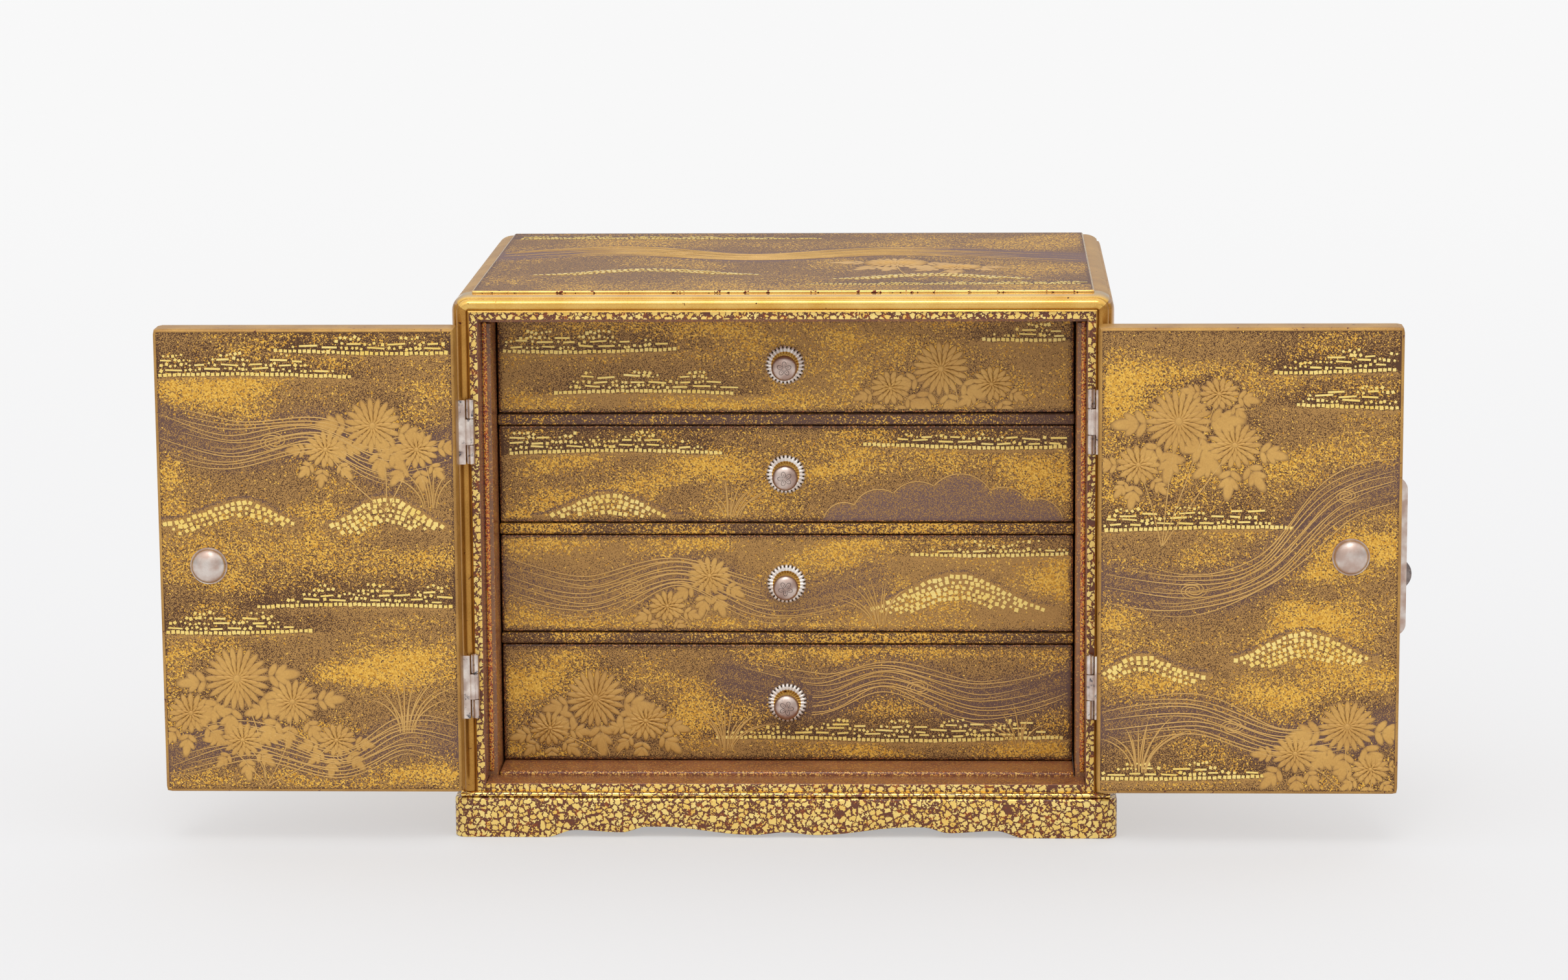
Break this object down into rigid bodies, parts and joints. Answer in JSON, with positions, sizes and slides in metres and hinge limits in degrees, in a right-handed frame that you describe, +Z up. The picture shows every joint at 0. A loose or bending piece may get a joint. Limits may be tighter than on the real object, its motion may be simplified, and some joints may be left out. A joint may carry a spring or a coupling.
{
  "type": "lacquer cabinet",
  "caption": "Small gold-lacquer table cabinet on a scalloped plinth, with a pair of hinged doors, shallow pull-out drawers, silver hinges, bosses, lock plate and flower knobs.",
  "frame": {"origin": "on the floor under the middle of the box round the cabinet with its doors open, as pictured", "axes": "+X to the viewer's right along the open doors, -Y out of the front, +Z up"},
  "size_m": [0.3164, 0.14, 0.1408],
  "materials": {
    "gold_lacquer": "polished gold lacquer",
    "speckled_lacquer": "dark lacquer with gold flakes",
    "panel_lacquer": "sprinkled gold lacquer with raised gold decoration",
    "inside_lacquer": "sprinkled dark brown lacquer",
    "silver": "engraved silver, lightly tarnished"
  },
  "bodies": {
    "carcass": {"stile_left": "gold_lacquer", "stile_right": "gold_lacquer", "rail_head": "gold_lacquer", "rail_sill": "speckled_lacquer", "top_board": "panel_lacquer", "side_board_left": "panel_lacquer", "side_board_right": "panel_lacquer", "back_board": "panel_lacquer", "bottom_board": "inside_lacquer", "divider_1": "inside_lacquer", "divider_2": "inside_lacquer", "divider_3": "inside_lacquer", "plinth_front": "speckled_lacquer", "plinth_back": "speckled_lacquer", "plinth_left": "speckled_lacquer", "plinth_right": "speckled_lacquer", "hinge_leaf_left_upper": "silver", "hinge_leaf_left_lower": "silver", "hinge_leaf_right_upper": "silver", "hinge_leaf_right_lower": "silver"},
    "left_door": {"door_left": "panel_lacquer", "boss_left": "silver", "door_leaf_left_upper": "silver", "door_leaf_left_lower": "silver"},
    "right_door": {"door_right": "panel_lacquer", "boss_right": "silver", "door_leaf_right_upper": "silver", "door_leaf_right_lower": "silver", "lock_plate": "silver", "lock_knob": "silver"},
    "drawer_1": {"drawer_1_front": "panel_lacquer", "drawer_1_wall_left": "inside_lacquer", "drawer_1_wall_right": "inside_lacquer", "drawer_1_wall_back": "inside_lacquer", "drawer_1_floor": "inside_lacquer", "rosette_1": "silver", "knob_1": "silver"},
    "drawer_2": {"drawer_2_front": "panel_lacquer", "drawer_2_wall_left": "inside_lacquer", "drawer_2_wall_right": "inside_lacquer", "drawer_2_wall_back": "inside_lacquer", "drawer_2_floor": "inside_lacquer", "rosette_2": "silver", "knob_2": "silver"},
    "drawer_3": {"drawer_3_front": "panel_lacquer", "drawer_3_wall_left": "inside_lacquer", "drawer_3_wall_right": "inside_lacquer", "drawer_3_wall_back": "inside_lacquer", "drawer_3_floor": "inside_lacquer", "rosette_3": "silver", "knob_3": "silver"},
    "drawer_4": {"drawer_4_front": "panel_lacquer", "drawer_4_wall_left": "inside_lacquer", "drawer_4_wall_right": "inside_lacquer", "drawer_4_wall_back": "inside_lacquer", "drawer_4_floor": "inside_lacquer", "rosette_4": "silver", "knob_4": "silver"}
  },
  "joints": [
    {"name": "left_door_hinge", "type": "hinge", "parent": "carcass", "child": "left_door", "pos_m": [-0.07958, -0.057, 0.074], "axis": [0, 0, -1], "range_deg": [-180, 10]},
    {"name": "right_door_hinge", "type": "hinge", "parent": "carcass", "child": "right_door", "pos_m": [0.07712, -0.057, 0.074], "axis": [0, 0, 1], "range_deg": [-180, 10]},
    {"name": "drawer_1_slide", "type": "slide", "parent": "carcass", "child": "drawer_1", "axis": [0, -1, 0], "range_m": [0, 0.07]},
    {"name": "drawer_2_slide", "type": "slide", "parent": "carcass", "child": "drawer_2", "axis": [0, -1, 0], "range_m": [0, 0.07]},
    {"name": "drawer_3_slide", "type": "slide", "parent": "carcass", "child": "drawer_3", "axis": [0, -1, 0], "range_m": [0, 0.07]},
    {"name": "drawer_4_slide", "type": "slide", "parent": "carcass", "child": "drawer_4", "axis": [0, -1, 0], "range_m": [0, 0.07]}
  ]
}
